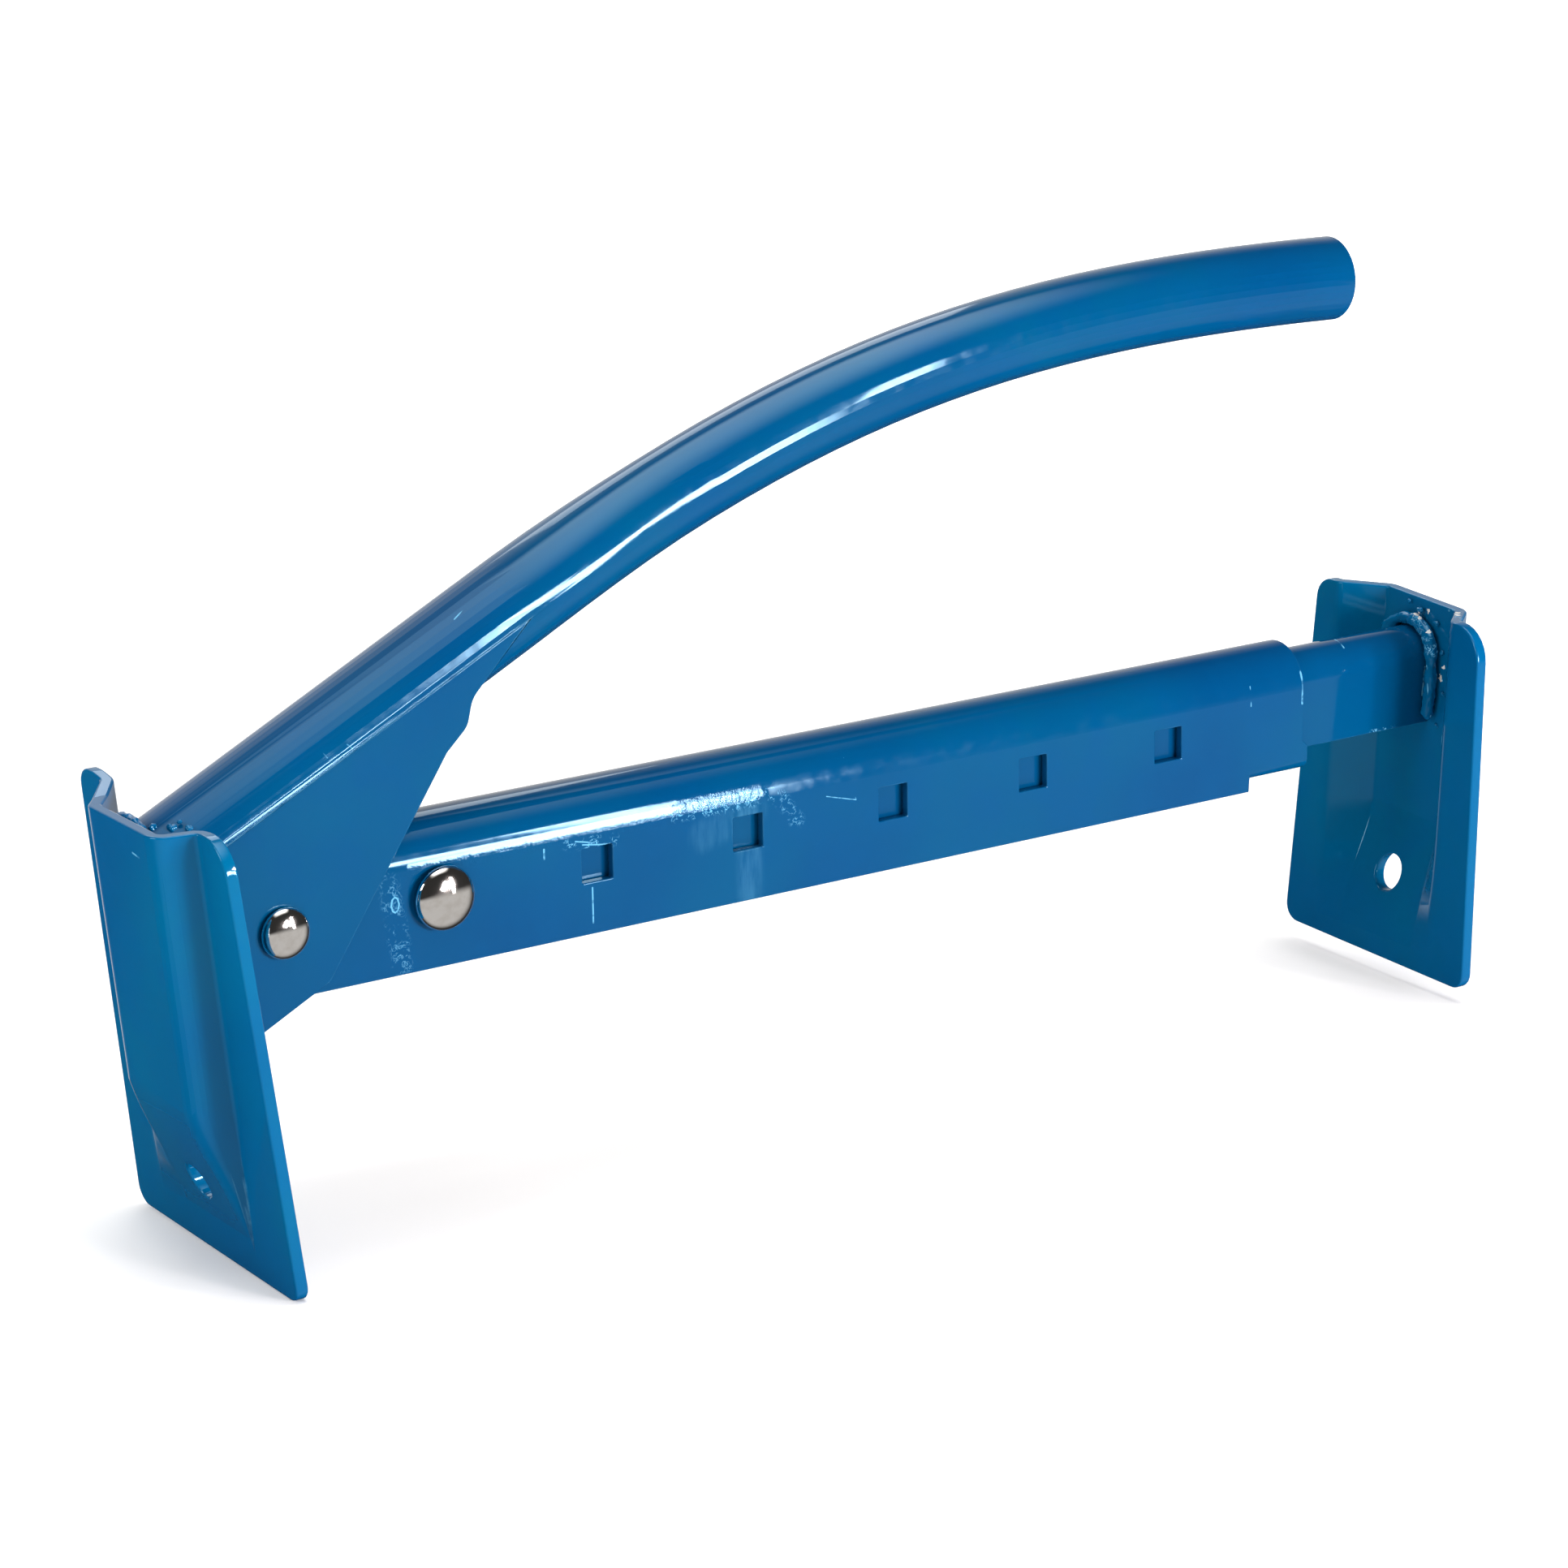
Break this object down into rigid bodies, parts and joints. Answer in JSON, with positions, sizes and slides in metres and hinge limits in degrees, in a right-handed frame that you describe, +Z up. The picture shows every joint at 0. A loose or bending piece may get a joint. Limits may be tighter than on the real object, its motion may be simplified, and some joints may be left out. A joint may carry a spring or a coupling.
{
  "type": "brick tongs",
  "caption": "Adjustable brick lifting tongs: a holed channel with a sliding bar, a pressed jaw at each end and a curved tube handle that swings the left jaw.",
  "frame": {"origin": "middle of the footprint, on the level of the left jaw's foot", "axes": "+X along the bar towards the right jaw, +Y towards the side with the wing nut, +Z up"},
  "size_m": [0.4896, 0.0998, 0.2552],
  "materials": {
    "blue_paint": "gloss",
    "bright_plating": "polished",
    "zinc_plating": "satin",
    "nylon": "satin"
  },
  "bodies": {
    "channel": {"outer_channel": "blue_paint", "adjuster_bolt": "bright_plating", "adjuster_washer": "zinc_plating", "pivot_sleeve": "zinc_plating"},
    "lever": {"handle": "blue_paint", "left_jaw": "blue_paint", "left_jaw_weld": "blue_paint", "pivot_bolt": "bright_plating", "pivot_washer": "zinc_plating", "pivot_nut": "zinc_plating", "pivot_nut_insert": "nylon"},
    "slider": {"inner_bar": "blue_paint", "right_jaw": "blue_paint", "right_jaw_weld": "blue_paint"},
    "wing_nut": {"adjuster_wing_nut": "zinc_plating"}
  },
  "joints": [
    {"name": "handle_pivot", "type": "hinge", "parent": "channel", "child": "lever", "pos_m": [-0.19874, 0.00307, 0.09875], "axis": [0, -1, 0], "range_deg": [-13, 20]},
    {"name": "bar_slide", "type": "slide", "parent": "channel", "child": "slider", "axis": [1, 0, 0], "range_m": [0, 0.27]},
    {"name": "wing_nut_spin", "type": "hinge", "parent": "channel", "child": "wing_nut", "pos_m": [-0.14474, 0.02307, 0.09875], "axis": [0, 1, 0], "continuous": true}
  ]
}
